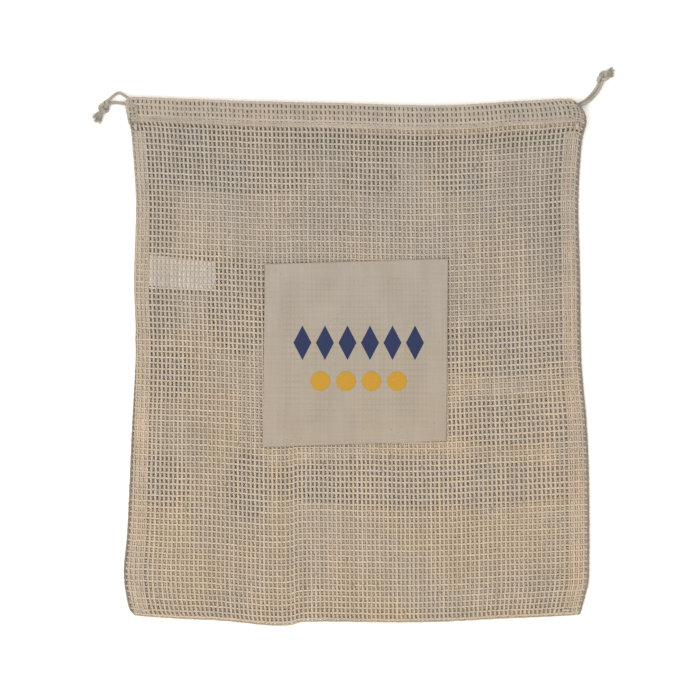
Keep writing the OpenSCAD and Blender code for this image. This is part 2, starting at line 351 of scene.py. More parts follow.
# The hem inside the channel gets lighter, warmer yarn: painted light, standing in for the warm light that glows through
# the channel's holes
HEM_WARP = yarn("hem_warp_yarn", linear(214, 183, 147), linear(214, 183, 147), (330, 9, 40))
HEM_WEFT = yarn("hem_weft_yarn", linear(226, 197, 162), linear(226, 197, 162), (12, 260, 40), (500, 2600, 2600))


def calico(name, cool, warm, scale=1.0, shows_net=False):
    """Plain-woven cotton cloth: a fine over-and-under weave with slubs, faint creases and a few brown specks."""
    s = Shader(name, roughness=0.95, sheen=0.2, sheen_tint=(0.95, 0.9, 0.82))
    split = s.node("SeparateXYZ", Vector=s.place)
    drift = s.noise(s.place, 60, 2)
    across = s.node("TexWave", {"wave_type": "BANDS", "bands_direction": "X", "wave_profile": "SIN"},
                    Vector=s.place, Scale=640 * scale, Distortion=0.6, Detail=1.0)
    up = s.node("TexWave", {"wave_type": "BANDS", "bands_direction": "Y", "wave_profile": "SIN"},
                Vector=s.place, Scale=560 * scale, Distortion=0.6, Detail=1.0)
    weave = s.math("MULTIPLY", across.outputs["Fac"], up.outputs["Fac"])
    warm_by = s.node("Clamp", Value=s.math("ADD", s.ramp(split.outputs["Y"], 0.06, -0.05, 0.0, 0.7),
                                           s.ramp(drift, 0.35, 0.65, -0.2, 0.25))).outputs[0]
    colour = s.mix(warm_by, cool, warm)
    slub_up = s.noise(s.scaled(900, 25, 60), 1.0, 2)
    slub_across = s.noise(s.scaled(25, 900, 60), 1.0, 2)
    colour = s.shade(colour, s.ramp(s.math("ADD", slub_up, slub_across), 0.7, 1.3, 0.965, 1.03))
    colour = s.shade(colour, s.ramp(weave, 0.0, 1.0, 0.975, 1.02))
    fleck = s.ramp(s.noise(s.scaled(700, 500, 500), 1.0, 1), 0.73, 0.77, 0.0, 0.5)
    colour = s.mix(fleck, colour, linear(120, 96, 72))
    if shows_net:
        lines = [s.math("POWER", s.math("ABSOLUTE", s.math("SINE", s.math("MULTIPLY", split.outputs[axis], math.pi / (p * MM)), 0.0), 0.0), 5.0)
                 for axis, p in (("X", 2.83), ("Y", 3.81))]
        grid = s.math("MAXIMUM", *lines)
        middle = np.mean(PATCH, axis=0) * MM
        off = [s.math("ABSOLUTE", s.math("SUBTRACT", split.outputs[axis], float(middle[k])), 0.0)
               for k, axis in enumerate("XY")]
        part = s.math("MULTIPLY", s.ramp(s.noise(s.place, 45, 2), 0.35, 0.62, 0.25, 1.0),
                      s.ramp(s.math("MAXIMUM", *off), 0.047, 0.052, 1.0, 0.0))
        colour = s.shade(colour, s.ramp(s.math("MULTIPLY", grid, part), 0.0, 1.0, 1.01, 0.925))
        colour = s.shade(colour, s.ramp(s.noise(s.scaled(60, 24, 30), 1.0, 2), 0.3, 0.7, 0.96, 1.03))
    return s.finish(colour, s.math("ADD", weave, slub_up), strength=0.18, distance=0.00015)


def ink(name, full, worn):
    """Screen-printed ink soaked into calico, thinner on the high threads."""
    s = Shader(name, roughness=0.8, sheen=0.08, sheen_tint=(0.9, 0.9, 0.9))
    across = s.node("TexWave", {"bands_direction": "X"}, Vector=s.place, Scale=640, Distortion=0.6, Detail=1.0)
    up = s.node("TexWave", {"bands_direction": "Y"}, Vector=s.place, Scale=560, Distortion=0.6, Detail=1.0)
    weave = s.math("MULTIPLY", across.outputs["Fac"], up.outputs["Fac"])
    patchy = s.math("ADD", s.math("MULTIPLY", weave, 0.35), s.noise(s.place, 700, 3, 0.6))
    colour = s.mix(s.ramp(patchy, 0.45, 0.95, 0.0, 0.55), full, worn)
    return s.finish(colour, weave, strength=0.3, distance=0.00012)


CALICO = calico("calico", linear(154, 145, 133), linear(157, 144, 127), shows_net=True)
CALICO_EDGE = calico("calico_turned_edge", linear(158, 149, 137), linear(160, 148, 130))
NAVY = ink("navy_ink", linear(33, 42, 76), linear(46, 54, 86))
OCHRE = ink("ochre_ink", linear(174, 130, 36), linear(182, 145, 66))


def tape():
    """White woven label tape with a faint satin rib."""
    s = Shader("label_tape", roughness=0.55, sheen=0.15, sheen_tint=(1, 1, 1))
    rib = s.node("TexWave", {"bands_direction": "X"}, Vector=s.place, Scale=900, Distortion=0.3)
    colour = s.mix(s.noise(s.place, 180, 2), linear(236, 234, 232), linear(222, 220, 221))
    colour = s.shade(colour, s.ramp(rib.outputs["Fac"], 0, 1, 0.95, 1.02))
    return s.finish(colour, rib.outputs["Fac"], strength=0.2, distance=0.0001)


TAPE = tape()


# ---------------------------------------------------------------- camera, floor and light

camera = bpy.data.objects.new("camera", bpy.data.cameras.new("camera"))
bpy.context.scene.collection.objects.link(camera)
CAMERA_HEIGHT = 1.6
VIEW_WIDTH = 0.4667
camera.location = (-0.0043, 0.0077, CAMERA_HEIGHT)
camera.data.lens = camera.data.sensor_width * (CAMERA_HEIGHT - 0.003) / VIEW_WIDTH
bpy.context.scene.camera = camera
bpy.context.scene.view_settings.view_transform = "Standard"


KEY_POWER = 16
SKY_LOW, SKY_HIGH, SKY_SIDE, SKY_TOP = 0.15, 0.6, 1.0, 1.6  # heights as sines, and strengths


def floor():
    """A plain pale floor."""
    s = Shader("floor", roughness=0.9, sheen=0.0, sheen_tint=(1, 1, 1))
    paper = s.noise(s.place, 9, 3)
    colour = s.shade(s.mix(0.0, (0.81, 0.785, 0.755), (1, 1, 1)), s.ramp(paper, 0.3, 0.7, 0.995, 1.005))
    corners = np.array([(-6000, -6000, -0.3), (6000, -6000, -0.3), (6000, 6000, -0.3), (-6000, 6000, -0.3)])
    made = piece("floor", [(corners, [np.array([[0, 1, 2, 3]])], 0)], [s.finish(colour)])


def light(name, place, size, power, colour=(1, 1, 1)):
    """A soft round lamp aimed at the bag."""
    lamp = bpy.data.lights.new(name, "AREA")
    lamp.shape = "DISK"
    lamp.size, lamp.energy, lamp.color = size, power, colour
    made = bpy.data.objects.new(name, lamp)
    bpy.context.scene.collection.objects.link(made)
    made.location = place
    made.rotation_euler = (-Vector(place)).to_track_quat("-Z", "Y").to_euler()


def studio():
    """A white studio sky, a little brighter overhead than low down, with one soft lamp for shape."""
    light("key", (-1.0, -0.4, 1.65), 0.9, KEY_POWER, (1, 0.985, 0.965))
    world = bpy.data.worlds.new("studio")
    world.use_nodes = True
    tree = world.node_tree
    place, parts = tree.nodes.new("ShaderNodeTexCoord"), tree.nodes.new("ShaderNodeSeparateXYZ")
    height = tree.nodes.new("ShaderNodeMapRange")
    height.interpolation_type = "SMOOTHSTEP"
    for socket, value in (("From Min", SKY_LOW), ("From Max", SKY_HIGH), ("To Min", SKY_SIDE), ("To Max", SKY_TOP)):
        height.inputs[socket].default_value = value
    tree.links.new(place.outputs["Generated"], parts.inputs[0])
    tree.links.new(parts.outputs["Z"], height.inputs["Value"])
    back = tree.nodes["Background"]
    back.inputs["Color"].default_value = (1, 0.99, 0.975, 1)
    tree.links.new(height.outputs["Result"], back.inputs["Strength"])
    bpy.context.scene.world = world


floor()
studio()

# ---------------------------------------------------------------- drawcords

LEFT_OUT = [(-166.5, 173, 3), (-165, 174.8, 2.6), (-162.7, 176.8, 2.3), (-160.5, 178.6, 2.2), (-158.5, 179.2, 2.5),
            (-156.2, 178.4, 3), (-154, 176.9, 3.7), (-151.5, 175.3, 4.5), (-147.5, 172.6, 5.2),
            (-143, 170, 5.7), (-138, 168.5, 5.9), (-133, 168, 6)]
LEFT_BACK = [(-135, 162.5, 2), (-141, 163, 2), (-145, 165, 2), (-149, 168.6, 2), (-152.5, 171.2, 2),
             (-155.5, 172.2, 1.6), (-158.5, 172.6, 1.2), (-162, 172.8, 1.1), (-165.5, 172.4, 1.8)]
RIGHT_OUT = [(164, 187.5, 2.6), (163, 184, 2.1), (161, 180.2, 2.2), (158, 176.5, 2.6), (154.5, 173.3, 3),
             (151, 171.5, 3.6), (148, 170, 4.4), (144.8, 166.8, 5.2), (141, 164.2, 5.8), (137, 162.9, 6),
             (133, 162.5, 6)]
RIGHT_BACK = [(136, 168, 2), (141, 168.4, 2), (145, 169.7, 1.9), (148.5, 171.6, 1.7), (151.5, 173.3, 1.4),
              (154.5, 175.6, 1.2), (157.5, 178.8, 1.2), (160, 182.3, 1.3), (162, 186, 1.8)]


def turn_round(x, side, y0, y1):
    """The half turn where a cord's loop comes back at the far mouth, from the front run to the back run."""
    mid_y, mid_z = (y0 + y1) / 2, (RUN_FRONT_Z + RUN_BACK_Z) / 2
    reach = side * math.hypot(y1 - y0, RUN_BACK_Z - RUN_FRONT_Z) / 2
    return [(x + reach * math.sin(a), mid_y + (y0 - mid_y) * math.cos(a), mid_z + (RUN_FRONT_Z - mid_z) * math.cos(a))
            for a in np.linspace(0, math.pi, 7)]


CORD_FLUFF = 1.14


def cord_line(out, turn, back):
    """One cord from its knot through the front of the channel, round at the far mouth and back to its knot."""
    free_out, free_back = smooth(out), smooth(back)
    return even(np.vstack([free_out, smooth(turn), free_back]), 0.7)


LEFT_LINE = cord_line(LEFT_OUT, turn_round(LEFT_TURN_X, 1, RUN_HI_Y, RUN_LO_Y), LEFT_BACK)
RIGHT_LINE = cord_line(RIGHT_OUT, turn_round(RIGHT_TURN_X, -1, RUN_LO_Y, RUN_HI_Y), RIGHT_BACK)


def knot_line(place, heading, size):
    """An overhand knot pulled up snug, lying flat and turned to heading."""
    t = np.linspace(0, 2 * math.pi, 97)
    x, y = 1.2 * size * (np.cos(t) - 2 * np.cos(2 * t)), 0.82 * size * (np.sin(t) + 2 * np.sin(2 * t))
    c, s = math.cos(math.radians(heading)), math.sin(math.radians(heading))
    return np.stack([c * x - s * y, s * x + c * y, -1.25 * size * np.sin(3 * t)], -1) + place


def tuft(start, heading, length, wide, seed, dark_end):
    """A cord end below its knot: the strands open out and fray."""
    rng = np.random.default_rng(seed)
    c, s = math.cos(math.radians(heading)), math.sin(math.radians(heading))
    reach = np.linspace(0, 1, 12)
    core = np.stack([start[0] + c * length * 0.72 * reach, start[1] + s * length * 0.72 * reach,
                     start[2] - 0.9 * reach + 0.5 * np.sin(reach * 3)], -1)
    parts = [rope(core, 1.9, 5, phase=seed, taper=1 - 0.5 * reach ** 3)]
    for _ in range(46):
        angle, across = rng.uniform(0, 2 * math.pi), math.sqrt(rng.uniform(0, 1))
        side, up = across * math.cos(angle), across * math.sin(angle)
        far = length * rng.uniform(0.75, 1.08)
        begin = rng.uniform(0.0, 0.45)
        t = np.linspace(begin, 1, 7)
        open_out = 0.75 + (wide - 0.75) * t ** 1.4
        bend = rng.normal(0, 0.35) * t ** 2
        px = far * t
        py = side * open_out + bend
        pz = np.maximum(up * (0.8 + 0.35 * t) - 0.7 * t, 0.22 - start[2])
        line = np.stack([start[0] + c * px - s * py, start[1] + s * px + c * py, start[2] + pz], -1)
        parts.append(tubes_part(tube(line, rng.uniform(0.12, 0.2) * (1 - 0.55 * t), 4)))
    return parts


def drawcord(side, line, knot_place, knot_heading, tails):
    body = f"{side}_cord"
    knot = piece(f"{side}_knot_rope", [rope(knot_line(knot_place, knot_heading, 1.1), 2.75, 5.5)], [ROPE],
                 body, [f"{side}_knot"])
    ends = piece(f"{side}_frayed_ends", [p for tail in tails for p in tuft(*tail)], [ROPE],
                 body, [f"{side}_cord_ends"])
    made = piece(f"{side}_cord_rope", [rope(line, CORD_D * CORD_FLUFF)], [ROPE], body, [f"{side}_drawcord"])


drawcord("left", LEFT_LINE, (-168.2, 169.8, 2.4), 245,
         [((-169.4, 167.6, 2.5), 225, 8.8, 3.0, 3, True), ((-169.2, 167.0, 2.3), 246, 8.5, 2.7, 4, True)])
drawcord("right", RIGHT_LINE, (164.5, 189.8, 2.4), 40,
         [((165.8, 191, 2.5), 40, 7.4, 2.4, 5, False), ((165.8, 190.4, 2.3), 12, 6.2, 2.4, 6, False)])


# ---------------------------------------------------------------- the net panels' surfaces

def plan(u, t):
    """Where the flat bag's net lies, seen from above: u across and t up, both 0 to 1."""
    left, right = share(smooth(LEFT), t)[None], share(smooth(RIGHT), t)[None]
    low, high = share(smooth(BOTTOM), u)[:, None], share(smooth(TOP), u)[:, None]
    u, t = u[:, None, None], t[None, :, None]
    swell_left = left - (1 - t) * low[:1] - t * high[:1]
    swell_right = right - (1 - t) * low[-1:] - t * high[-1:]
    return (1 - t) * low + t * high + (1 - u) ** SIDE_PULL * swell_left + u ** SIDE_PULL * swell_right


class Surface:
    """A piece of cloth as a grid of points, looked up by column and row."""

    def __init__(self, grid, per_column, per_row):
        self.grid, self.per_column, self.per_row = grid, per_column, per_row
        across, along = np.gradient(grid, axis=0), np.gradient(grid, axis=1)
        out = np.cross(across, along)
        self.layers = [grid] + [v / np.linalg.norm(v, axis=2, keepdims=True) for v in (across, along, out)]

    def at(self, column, row):
        """Points, and unit directions across, along and out of the cloth, at columns and rows."""
        i = np.clip(column * self.per_column, 0, self.grid.shape[0] - 1.001)
        j = np.clip(row * self.per_row, 0, self.grid.shape[1] - 1.001)
        i0, j0 = i.astype(int), j.astype(int)
        fi, fj = (i - i0)[..., None], (j - j0)[..., None]
        return [(g[i0, j0] * (1 - fi) * (1 - fj) + g[i0 + 1, j0] * fi * (1 - fj)
                 + g[i0, j0 + 1] * (1 - fi) * fj + g[i0 + 1, j0 + 1] * fi * fj) for g in self.layers]


PER_COLUMN, PER_ROW = 2, 8


def off_patch(x, y):
    """How far a place is outside the patch, roughly."""
    (low_x, low_y), (high_x, high_y) = np.min(PATCH, axis=0), np.max(PATCH, axis=0)
    return np.maximum(np.maximum(low_x - x, x - high_x), np.maximum(low_y - y, y - high_y))


# Where the two nets lie hole over hole, so that the inside shows dark: centre and half-widths
OPEN_ZONES = [(-121, 139.7, 22, 18), (-71, 124.3, 36, 8), (9, 124.3, 15, 8), (69, 124.3, 15, 8), (-134, 94, 8, 22),
              (-134, 34, 8, 15), (-79, 38, 17, 28), (-128, -7, 15, 13), (-128, -80, 12, 13), (-72, -82, 10, 18),
              (41, -80, 106, 12), (104, -40, 43, 12), (93, 8, 38, 14), (136, 108, 5, 20)]


def openness(x, y):
    """1 where the holes of the two nets line up, 0 where one net's yarns fill the other's holes."""
    best = np.zeros(np.broadcast(x, y).shape)
    for cx, cy, wide, tall in OPEN_ZONES:
        away = np.hypot((x - cx) / (wide + 4), (y - cy) / (tall + 4))
        best = np.maximum(best, 1 - step_up(away, 0.72, 1.25))
    return best


def off_label(x, y):
    """How far a place is outside the care label, roughly."""
    (low_x, low_y), (high_x, high_y) = np.min(LABEL, axis=0), np.max(LABEL, axis=0)
    return np.maximum(np.maximum(low_x - x, x - high_x), np.maximum(low_y - y, y - high_y))


def panel(front, guide=None):
    """A net panel's surface, from the fold at the bottom up over the top fold and down its hem allowance, and
    the rows along it. The back panel takes its rows from the front's, so that they stay level with each other."""
    sign = 1 if front else -1
    u = np.linspace(0, 1, PER_COLUMN * (COLUMNS - 1) + 1)
    t = np.linspace(0, 1, 701)
    flat = plan(u, t)
    run = np.concatenate([np.zeros((len(u), 1)),
                          np.cumsum(np.linalg.norm(np.diff(flat, axis=1), axis=2), axis=1)], axis=1)
    length = run[:, -1:]

    low_r = (EDGE_FRONT_Z - EDGE_BACK_Z) / 2
    low_mid = (EDGE_FRONT_Z + EDGE_BACK_Z) / 2
    outer_z = CHANNEL_FRONT_Z if front else CHANNEL_BACK_Z
    inner_z = CHANNEL_FRONT_HEM_Z if front else CHANNEL_BACK_HEM_Z
    top_r, top_mid = abs(outer_z - inner_z) / 2, (outer_z + inner_z) / 2

    quarter = np.linspace(0, math.pi / 2, 9)[None]
    ones = np.ones_like(length)
    body = low_r + np.linspace(0, 1, 640)[None] * (length - low_r - top_r)
    hem = length - top_r - np.linspace(0, 1, 70)[None, 1:] * (HEM_DEPTH + 4 - top_r)
    station = np.concatenate([
        low_r * (1 - np.cos(quarter)) * ones, body[:, 1:],
        length - top_r + top_r * np.sin(quarter[:, 1:]),
        length - top_r + top_r * np.cos(quarter[:, 1:]), hem], axis=1)
    counts = [9, 639, 8, 8, 69]
    xy = np.stack([[np.interp(station[i], run[i], flat[i, :, k]) for i in range(len(u))] for k in range(2)], -1)
    x, y = xy[..., 0], xy[..., 1]
    drop = length - station
    column = u[:, None] * (COLUMNS - 1)
    side = np.minimum(column, COLUMNS - 1 - column) * 2.85

    loft = step_up(np.minimum(station, side), 2, 16)
    seam = step_up(drop, 16, 30) * (1 - step_up(side, 1.0, 5.5))
    if front:
        wave = 0.25 * (1 + wander(x, y, 70, 11)) * step_up(off_patch(x, y), 0, 30)
        free = EDGE_FRONT_Z + (FRONT_Z + wave - EDGE_FRONT_Z) * loft
        lift = np.interp(drop, [0, 4, 5.6, 8, 10, 12.2, 14.2, 16.5, 22, 30, 40],
                         [1, 1, 0.98, 0.9, 0.95, 0.78, 0.48, 0.44, 0.3, 0.1, 0])
        z_out = free + (CHANNEL_FRONT_Z - free) * lift - 0.55 * seam
        under = np.interp(drop, [0, 1.2, 4.4, 12.4, 14.4], [CHANNEL_FRONT_HEM_Z, CHANNEL_FRONT_HEM_Z, 4.4, 4.4, 4.2])
        z_hem = np.where(drop < 14.4, under, z_out - np.interp(drop, [14.4, 17], [0.9, 1.5]))
    else:
        lined_up = openness(x, y)
        free = EDGE_BACK_Z + (BACK_Z - 1.1 * lined_up - EDGE_BACK_Z) * loft
        free = np.minimum(free, BACK_Z - 1.1 + 20 * step_up(off_label(x, y), 0, 12))
        flat_by = step_up(drop, 14, 34)
        z_out = CHANNEL_BACK_Z + (free - CHANNEL_BACK_Z) * flat_by + 0.3 * seam
        z_hem = np.interp(drop, [0, 12, 15.5], [CHANNEL_BACK_HEM_Z, CHANNEL_BACK_HEM_Z, 1.65])
        z_hem = np.maximum(z_hem, z_out + 0.7)
    z = z_out.copy()
    edge = np.cumsum(counts)
    arc = quarter[0]
    z[:, :9] = low_mid + sign * (z_out[:, 9:10] * sign - low_mid * sign) * np.sin(arc)
    z[:, edge[1]:edge[2]] = top_mid + sign * top_r * np.cos(arc[1:])
    z[:, edge[2]:edge[3]] = top_mid - sign * top_r * np.sin(arc[1:])
    z[:, edge[3]:] = z_hem[:, edge[3]:]

    points = np.concatenate([xy, z[..., None]], -1)
    length3 = np.concatenate([np.zeros((len(u), 1)),
                              np.cumsum(np.linalg.norm(np.diff(points, axis=1), axis=2), axis=1)], axis=1)
    fold = length3[:, edge[2] - 1:edge[2]]
    row = length3 / fold * ROWS
    up_to_fold = slice(0, edge[2])
    if guide is not None:
        row[:, up_to_fold] = [np.interp(station[i, up_to_fold], *(g[i] for g in guide)) for i in range(len(u))]
    rows = np.arange((ROWS + HEM_ROWS) * PER_ROW + 1) / PER_ROW
    grid = np.stack([[np.interp(rows, row[i], points[i, :, k]) for i in range(len(u))] for k in range(3)], -1)
    return Surface(grid, PER_COLUMN, PER_ROW), (station[:, up_to_fold], row[:, up_to_fold])


class Lattice:
    """Where the yarns of a net cross, in its surface's columns and rows."""

    def __init__(self, surface, phase, seed, columns=COLUMNS, rows=None, shift=None):
        rng = np.random.default_rng(seed)
        self.surface = surface
        rows = ROWS + HEM_ROWS if rows is None else rows
        column = np.arange(columns)[:, None] + np.zeros((1, rows))
        row = np.arange(rows)[None] + phase + np.zeros((columns, 1))
        points = surface.at(column, row)[0]
        x, y = points[..., 0], points[..., 1]
        self.column = column + 0.04 * wander(x, y, 40, seed + 1) + rng.normal(0, 0.018, column.shape)
        self.row = row + 0.05 * wander(x, y, 45, seed + 2) + rng.normal(0, 0.02, row.shape)
        past_fold = step_up(row, ROWS - 0.3, ROWS + 0.7) if rows > ROWS else 0
        self.column = self.column + past_fold * (0.5 + 0.1 * wander(x, y, 50, seed + 3))
        if shift is not None:
            add_column, add_row = shift(x, y)
            self.column, self.row = self.column + add_column, self.row + add_row
        self.column = np.clip(self.column, 0, columns - 1)
        self.column[0, row[0] < ROWS], self.column[-1, row[0] < ROWS] = 0, columns - 1

    def warps(self, squeeze, per_cell=3, seed=0, widen=lambda row: 1 + 0 * row):
        """Rings of the twisted pairs: (columns, stations, 2, 4 sides, 3)."""
        rng = np.random.default_rng(seed)
        count = (self.row.shape[1] - 1) * per_cell + 1
        m = np.arange(count) / per_cell
        k = np.minimum(m.astype(int), self.row.shape[1] - 2)
        f = m - k
        column = self.column[:, k] * (1 - f) + self.column[:, k + 1] * f
        row = self.row[:, k] * (1 - f) + self.row[:, k + 1] * f
        spot, across, _, out = self.surface.at(column, row)
        lead = rng.integers(0, 2, (len(column), 1)) * math.pi
        rings = []
        for half in (0, math.pi):
            theta = math.pi * m[None] + lead + half
            swing = WARP_SWING * widen(row) * (1 + 0.14 * rng.normal(0, 1, theta.shape))
            centre = (spot + across * (swing * np.sin(theta))[..., None]
                      + out * (WARP_LIFT * np.cos(theta) * squeeze(row))[..., None])
            r = (1 + rng.normal(0, 0.08, theta.shape))[..., None]
            up, aside = out * WARP_R * r, across * WARP_WIDE * r * widen(row)[..., None]
            rings.append(np.stack([centre + up, centre + aside, centre - up, centre - aside], -2))
        return np.stack(rings, 2)

    def wefts(self, squeeze, seed=0, wide=WEFT_WIDE, rows=None, offset=0.0, widen=lambda row: 1 + 0 * row):
        """Rings of the single crosswise yarns: (rows, stations, 5 sides, 3)."""
        rng = np.random.default_rng(seed)
        columns = self.column if rows is None else self.column[:, rows]
        lines = (self.row if rows is None else self.row[:, rows]) + offset
        half = lambda v: np.insert((v[1:] + v[:-1]) / 2, np.arange(len(v) - 1), v[:-1], axis=0)
        column = np.vstack([half(columns), columns[-1:]]).T
        row = np.vstack([half(lines), lines[-1:]]).T
        spot, _, along, out = self.surface.at(column, row)
        thick = squeeze(row)[..., None, None]
        r = 1 + rng.normal(0, 0.09, row.shape)[..., None, None]
        wide = wide * widen(row)[..., None, None]
        turn = (np.arange(5) * 2 * math.pi / 5)[None, None, :, None]
        sag = (0.06 * rng.normal(0, 1, row.shape))[..., None, None]
        return (spot[..., None, :] + along[..., None, :] * (np.cos(turn) * wide * r + sag)
                + out[..., None, :] * np.sin(turn) * WEFT_THICK * r * (0.75 + 0.25 * thick))


front, guide = panel(True)
back, _ = panel(False, guide)


def channel_squeeze(row):
    """The pair's thickness is pressed flatter in the ironed channel and hem."""
    return 1 - 0.4 * step_up(row, ROWS - 4.6, ROWS - 3.6)


def channel_widen(row):
    """Ironing presses the channel's yarns wider, too, and the hem's a little less."""
    return 1 + 0.5 * step_up(row, ROWS - 4.6, ROWS - 3.6) - 0.2 * step_up(row, ROWS - 0.5, ROWS + 0.5)


def back_shift(x, y):
    lined_up = openness(x, y)
    low = 1 - step_up(y, -118, -104)
    row = -0.5 * lined_up * (1 - low)
    inner = 1 - step_up(np.abs(x), 122, 141)
    column = (0.5 + 0.12 * wander(x, y, 60, 21)) * inner * (1 - lined_up)
    return column, row


front_net = Lattice(front, FRONT_PHASE, 31)
back_net = Lattice(back, BACK_PHASE, 41, shift=back_shift)

HALF_COLUMN, HALF_ROW = COLUMNS // 2, 46
TOP_NODE = ROWS


def split_net(name, net, seed, hem_node, net_node):
    """The panel's yarns as four quarters and two halves of its hem, each a piece of its own."""
    warps = net.warps(channel_squeeze, seed=seed, widen=channel_widen)
    wefts = net.wefts(channel_squeeze, seed=seed + 1, widen=channel_widen)
    band = [net.wefts(channel_squeeze, seed=seed + 2 + k, wide=0.6, rows=slice(BAND_NODE, BAND_NODE + 1), offset=o)
            for k, o in enumerate(BAND_PACK)]
    made = {}
    for side, columns, spans in (("left", slice(0, HALF_COLUMN), slice(0, 2 * HALF_COLUMN - 1)),
                                 ("right", slice(HALF_COLUMN, None), slice(2 * HALF_COLUMN - 2, None))):
        for part, low, high in (("lower", 0, HALF_ROW), ("upper", HALF_ROW, TOP_NODE), ("hem", TOP_NODE, 0)):
            if part == "hem":
                high = ROWS + HEM_ROWS - (2 if side == "left" else 1)
            w = warps[columns, 3 * low:3 * high + 1]
            parts = [tubes_part(np.swapaxes(w, 1, 2), 0), tubes_part(wefts[low:high, spans], 1)]
            # The outermost warp column takes the darker edge yarn: painted shade along the outline
            rim = slice(0, 1) if side == "left" else slice(-1, None)
            inside = slice(1, None) if side == "left" else slice(0, -1)
            parts[:1] = [tubes_part(np.swapaxes(w[inside], 1, 2), 0), tubes_part(np.swapaxes(w[rim], 1, 2), 2)]
            if part == "upper":
                parts += [tubes_part(b[:, spans], 1) for b in band]
            node = hem_node if part == "hem" else net_node
            body = "root" if part == "lower" else None
            yarns = [HEM_WARP, HEM_WEFT, EDGE_SHADE] if part == "hem" else [WARP, WEFT, EDGE_SHADE]
            made[side, part] = piece(f"{name}_{part}_{side}", parts, yarns, body, [node])
            if part != "lower":
                gather(made[side, part])
    return made


BAND_NODE = ROWS - 5
BAND_PACK = (0.25, 0.5)


def gather(made):
    """Bakes the piece's placement into its mesh."""
    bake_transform(made)


front_pieces = split_net("front_net", front_net, 51, "front_hem", "front_net")
back_pieces = split_net("back_net", back_net, 71, "back_hem", "back_net")

# ---------------------------------------------------------------- seams inside the bag

def turned_in(side, name):
    """The two nets' seam allowance, turned in along a side and caught between the panels."""
    rows = np.arange((ROWS - 5) * 4 + 1) / 4
    parts = []
    for k, (under, start) in enumerate(((1.25, 1.0), (0.75, 1.5))):
        columns = start + np.linspace(0, 2, 5)
        if side == "right":
            columns = COLUMNS - 1 - columns[::-1]
        grid = front.at(columns[:, None] + 0 * rows[None], rows[None] + 0 * columns[:, None])[0]
        grid[..., 2] -= under + 0.12 * wander(grid[..., 0], grid[..., 1], 30, 90 + k)
        cloth = Surface(grid, 2, 4)
        net = Lattice(cloth, 0.1 + 0.45 * k, 95 + k, columns=3, rows=ROWS - 6)
        flat = lambda row: 0.35 + 0 * row
        parts += [tubes_part(np.swapaxes(net.warps(flat, seed=97 + k), 1, 2)),
                  tubes_part(net.wefts(flat, seed=99 + k))]
    made = piece(name, parts, [TURNED], None, [f"{side}_seam_allowance"])
    gather(made)
    return made


def stitch_run(name, line, up, length, gap, r, material, node, lift=0.35):
    """A row of machine stitches: short threads that rise from the cloth and dive back into it."""
    run = even(line, 0.2)
    pitch = max(2, int(round((length + gap) / 0.2)))
    inside = int(round(length / 0.2))
    lines = []
    t = np.linspace(0, 1, 6)
    hop = (np.sin(t * math.pi) ** 0.6)[:, None] * lift - 0.18
    for start in range(0, len(run) - inside - 1, pitch):
        spot = run[start + np.round(t * inside).astype(int)]
        lines.append(tube(spot + np.asarray(up, float) * hop, r, 5))
    return piece(name, [tubes_part(np.stack(lines))], [material], None, [node])


def seam_thread(side):
    """The seam's own stitches, a little inside the edge."""
    rows = np.arange(3, ROWS - 5, 0.1)
    column = 0.75 if side == "left" else COLUMNS - 1.75
    line = front.at(column + 0 * rows, rows)[0]
    line[:, 2] = 1.75
    made = stitch_run(f"{side}_seam_thread", line, (0, 0, 1), 2.3, 0.5, 0.17, THREAD, f"{side}_seam_stitching")
    gather(made)


for side in ("left", "right"):
    turned_in(side, f"{side}_turned_seam")
    seam_thread(side)


def hem_thread(surface, out, name, node):
    """The stitches that hold a hem down, in two halves."""
    for side, low, high in (("left", 1.5, (COLUMNS - 1) / 2), ("right", (COLUMNS - 1) / 2, COLUMNS - 2.5)):
        columns = np.arange(low, high, 0.05)
        line = surface.at(columns, 0 * columns + BAND_NODE + 0.98)[0]
        line[:, 2] += out
        made = stitch_run(f"{name}_{side}", line, (0, 0, 1 if out > 0 else -1), 2.1, 0.7, 0.16, THREAD, node,
                          lift=0.3 if out > 0 else 0.25)
        gather(made)


hem_thread(front, 0.62, "front_hem_thread", "front_hem_stitching")
hem_thread(back, -0.36, "back_hem_thread", "back_hem_stitching")

# ---------------------------------------------------------------- mouths of the channel

def rolled_edge(side, surface, low_row, high_row, seed, layers, diameter):
    """The doubled net at a mouth: extra layers close to the edge and a tight roll along it."""
    sign = -1 if side == "left" else 1
    edge = 0.0 if side == "left" else COLUMNS - 1.0
    rows = np.linspace(low_row, high_row, 60)
    line = surface.at(edge + 0 * rows, rows)[0]
    line[:, 0] -= sign * 0.35
    parts = []
    for k, (dx, dz) in enumerate(layers):
        core = line + np.array((sign * dx, 0, dz))
        core = core + 0.12 * np.stack([np.sin(rows * 9 + k), 0 * rows, np.cos(rows * 7 + 2 * k)], -1)
        core[:, 2] = np.maximum(core[:, 2], diameter / 2 - 0.1)
        parts.append(rope(even(core, 0.6), diameter, 2.6, phase=seed + k))
    return parts


def mouth_layer(side, surface, lift, low_row, high_row, seed):
    """One short layer of net laid over the channel's end, half a cell off the net it lies on."""
    columns = np.linspace(0.35, 2.9, 7)
    if side == "right":
        columns = COLUMNS - 1 - columns[::-1]
    rows = low_row + np.arange(int((high_row - low_row) * 6) + 1) / 6
    spot, _, _, out = surface.at(columns[:, None] + 0 * rows[None], rows[None] + 0 * columns[:, None])
    cloth = Surface(spot + out * lift, 2, 6)
    count = int(high_row - low_row)
    net = Lattice(cloth, 0.15, seed, columns=4, rows=count)
    flat = lambda row: 0.4 + 0 * row
    return [tubes_part(np.swapaxes(net.warps(flat, seed=seed + 1), 1, 2), 0),
            tubes_part(net.wefts(flat, seed=seed + 2), 1)]


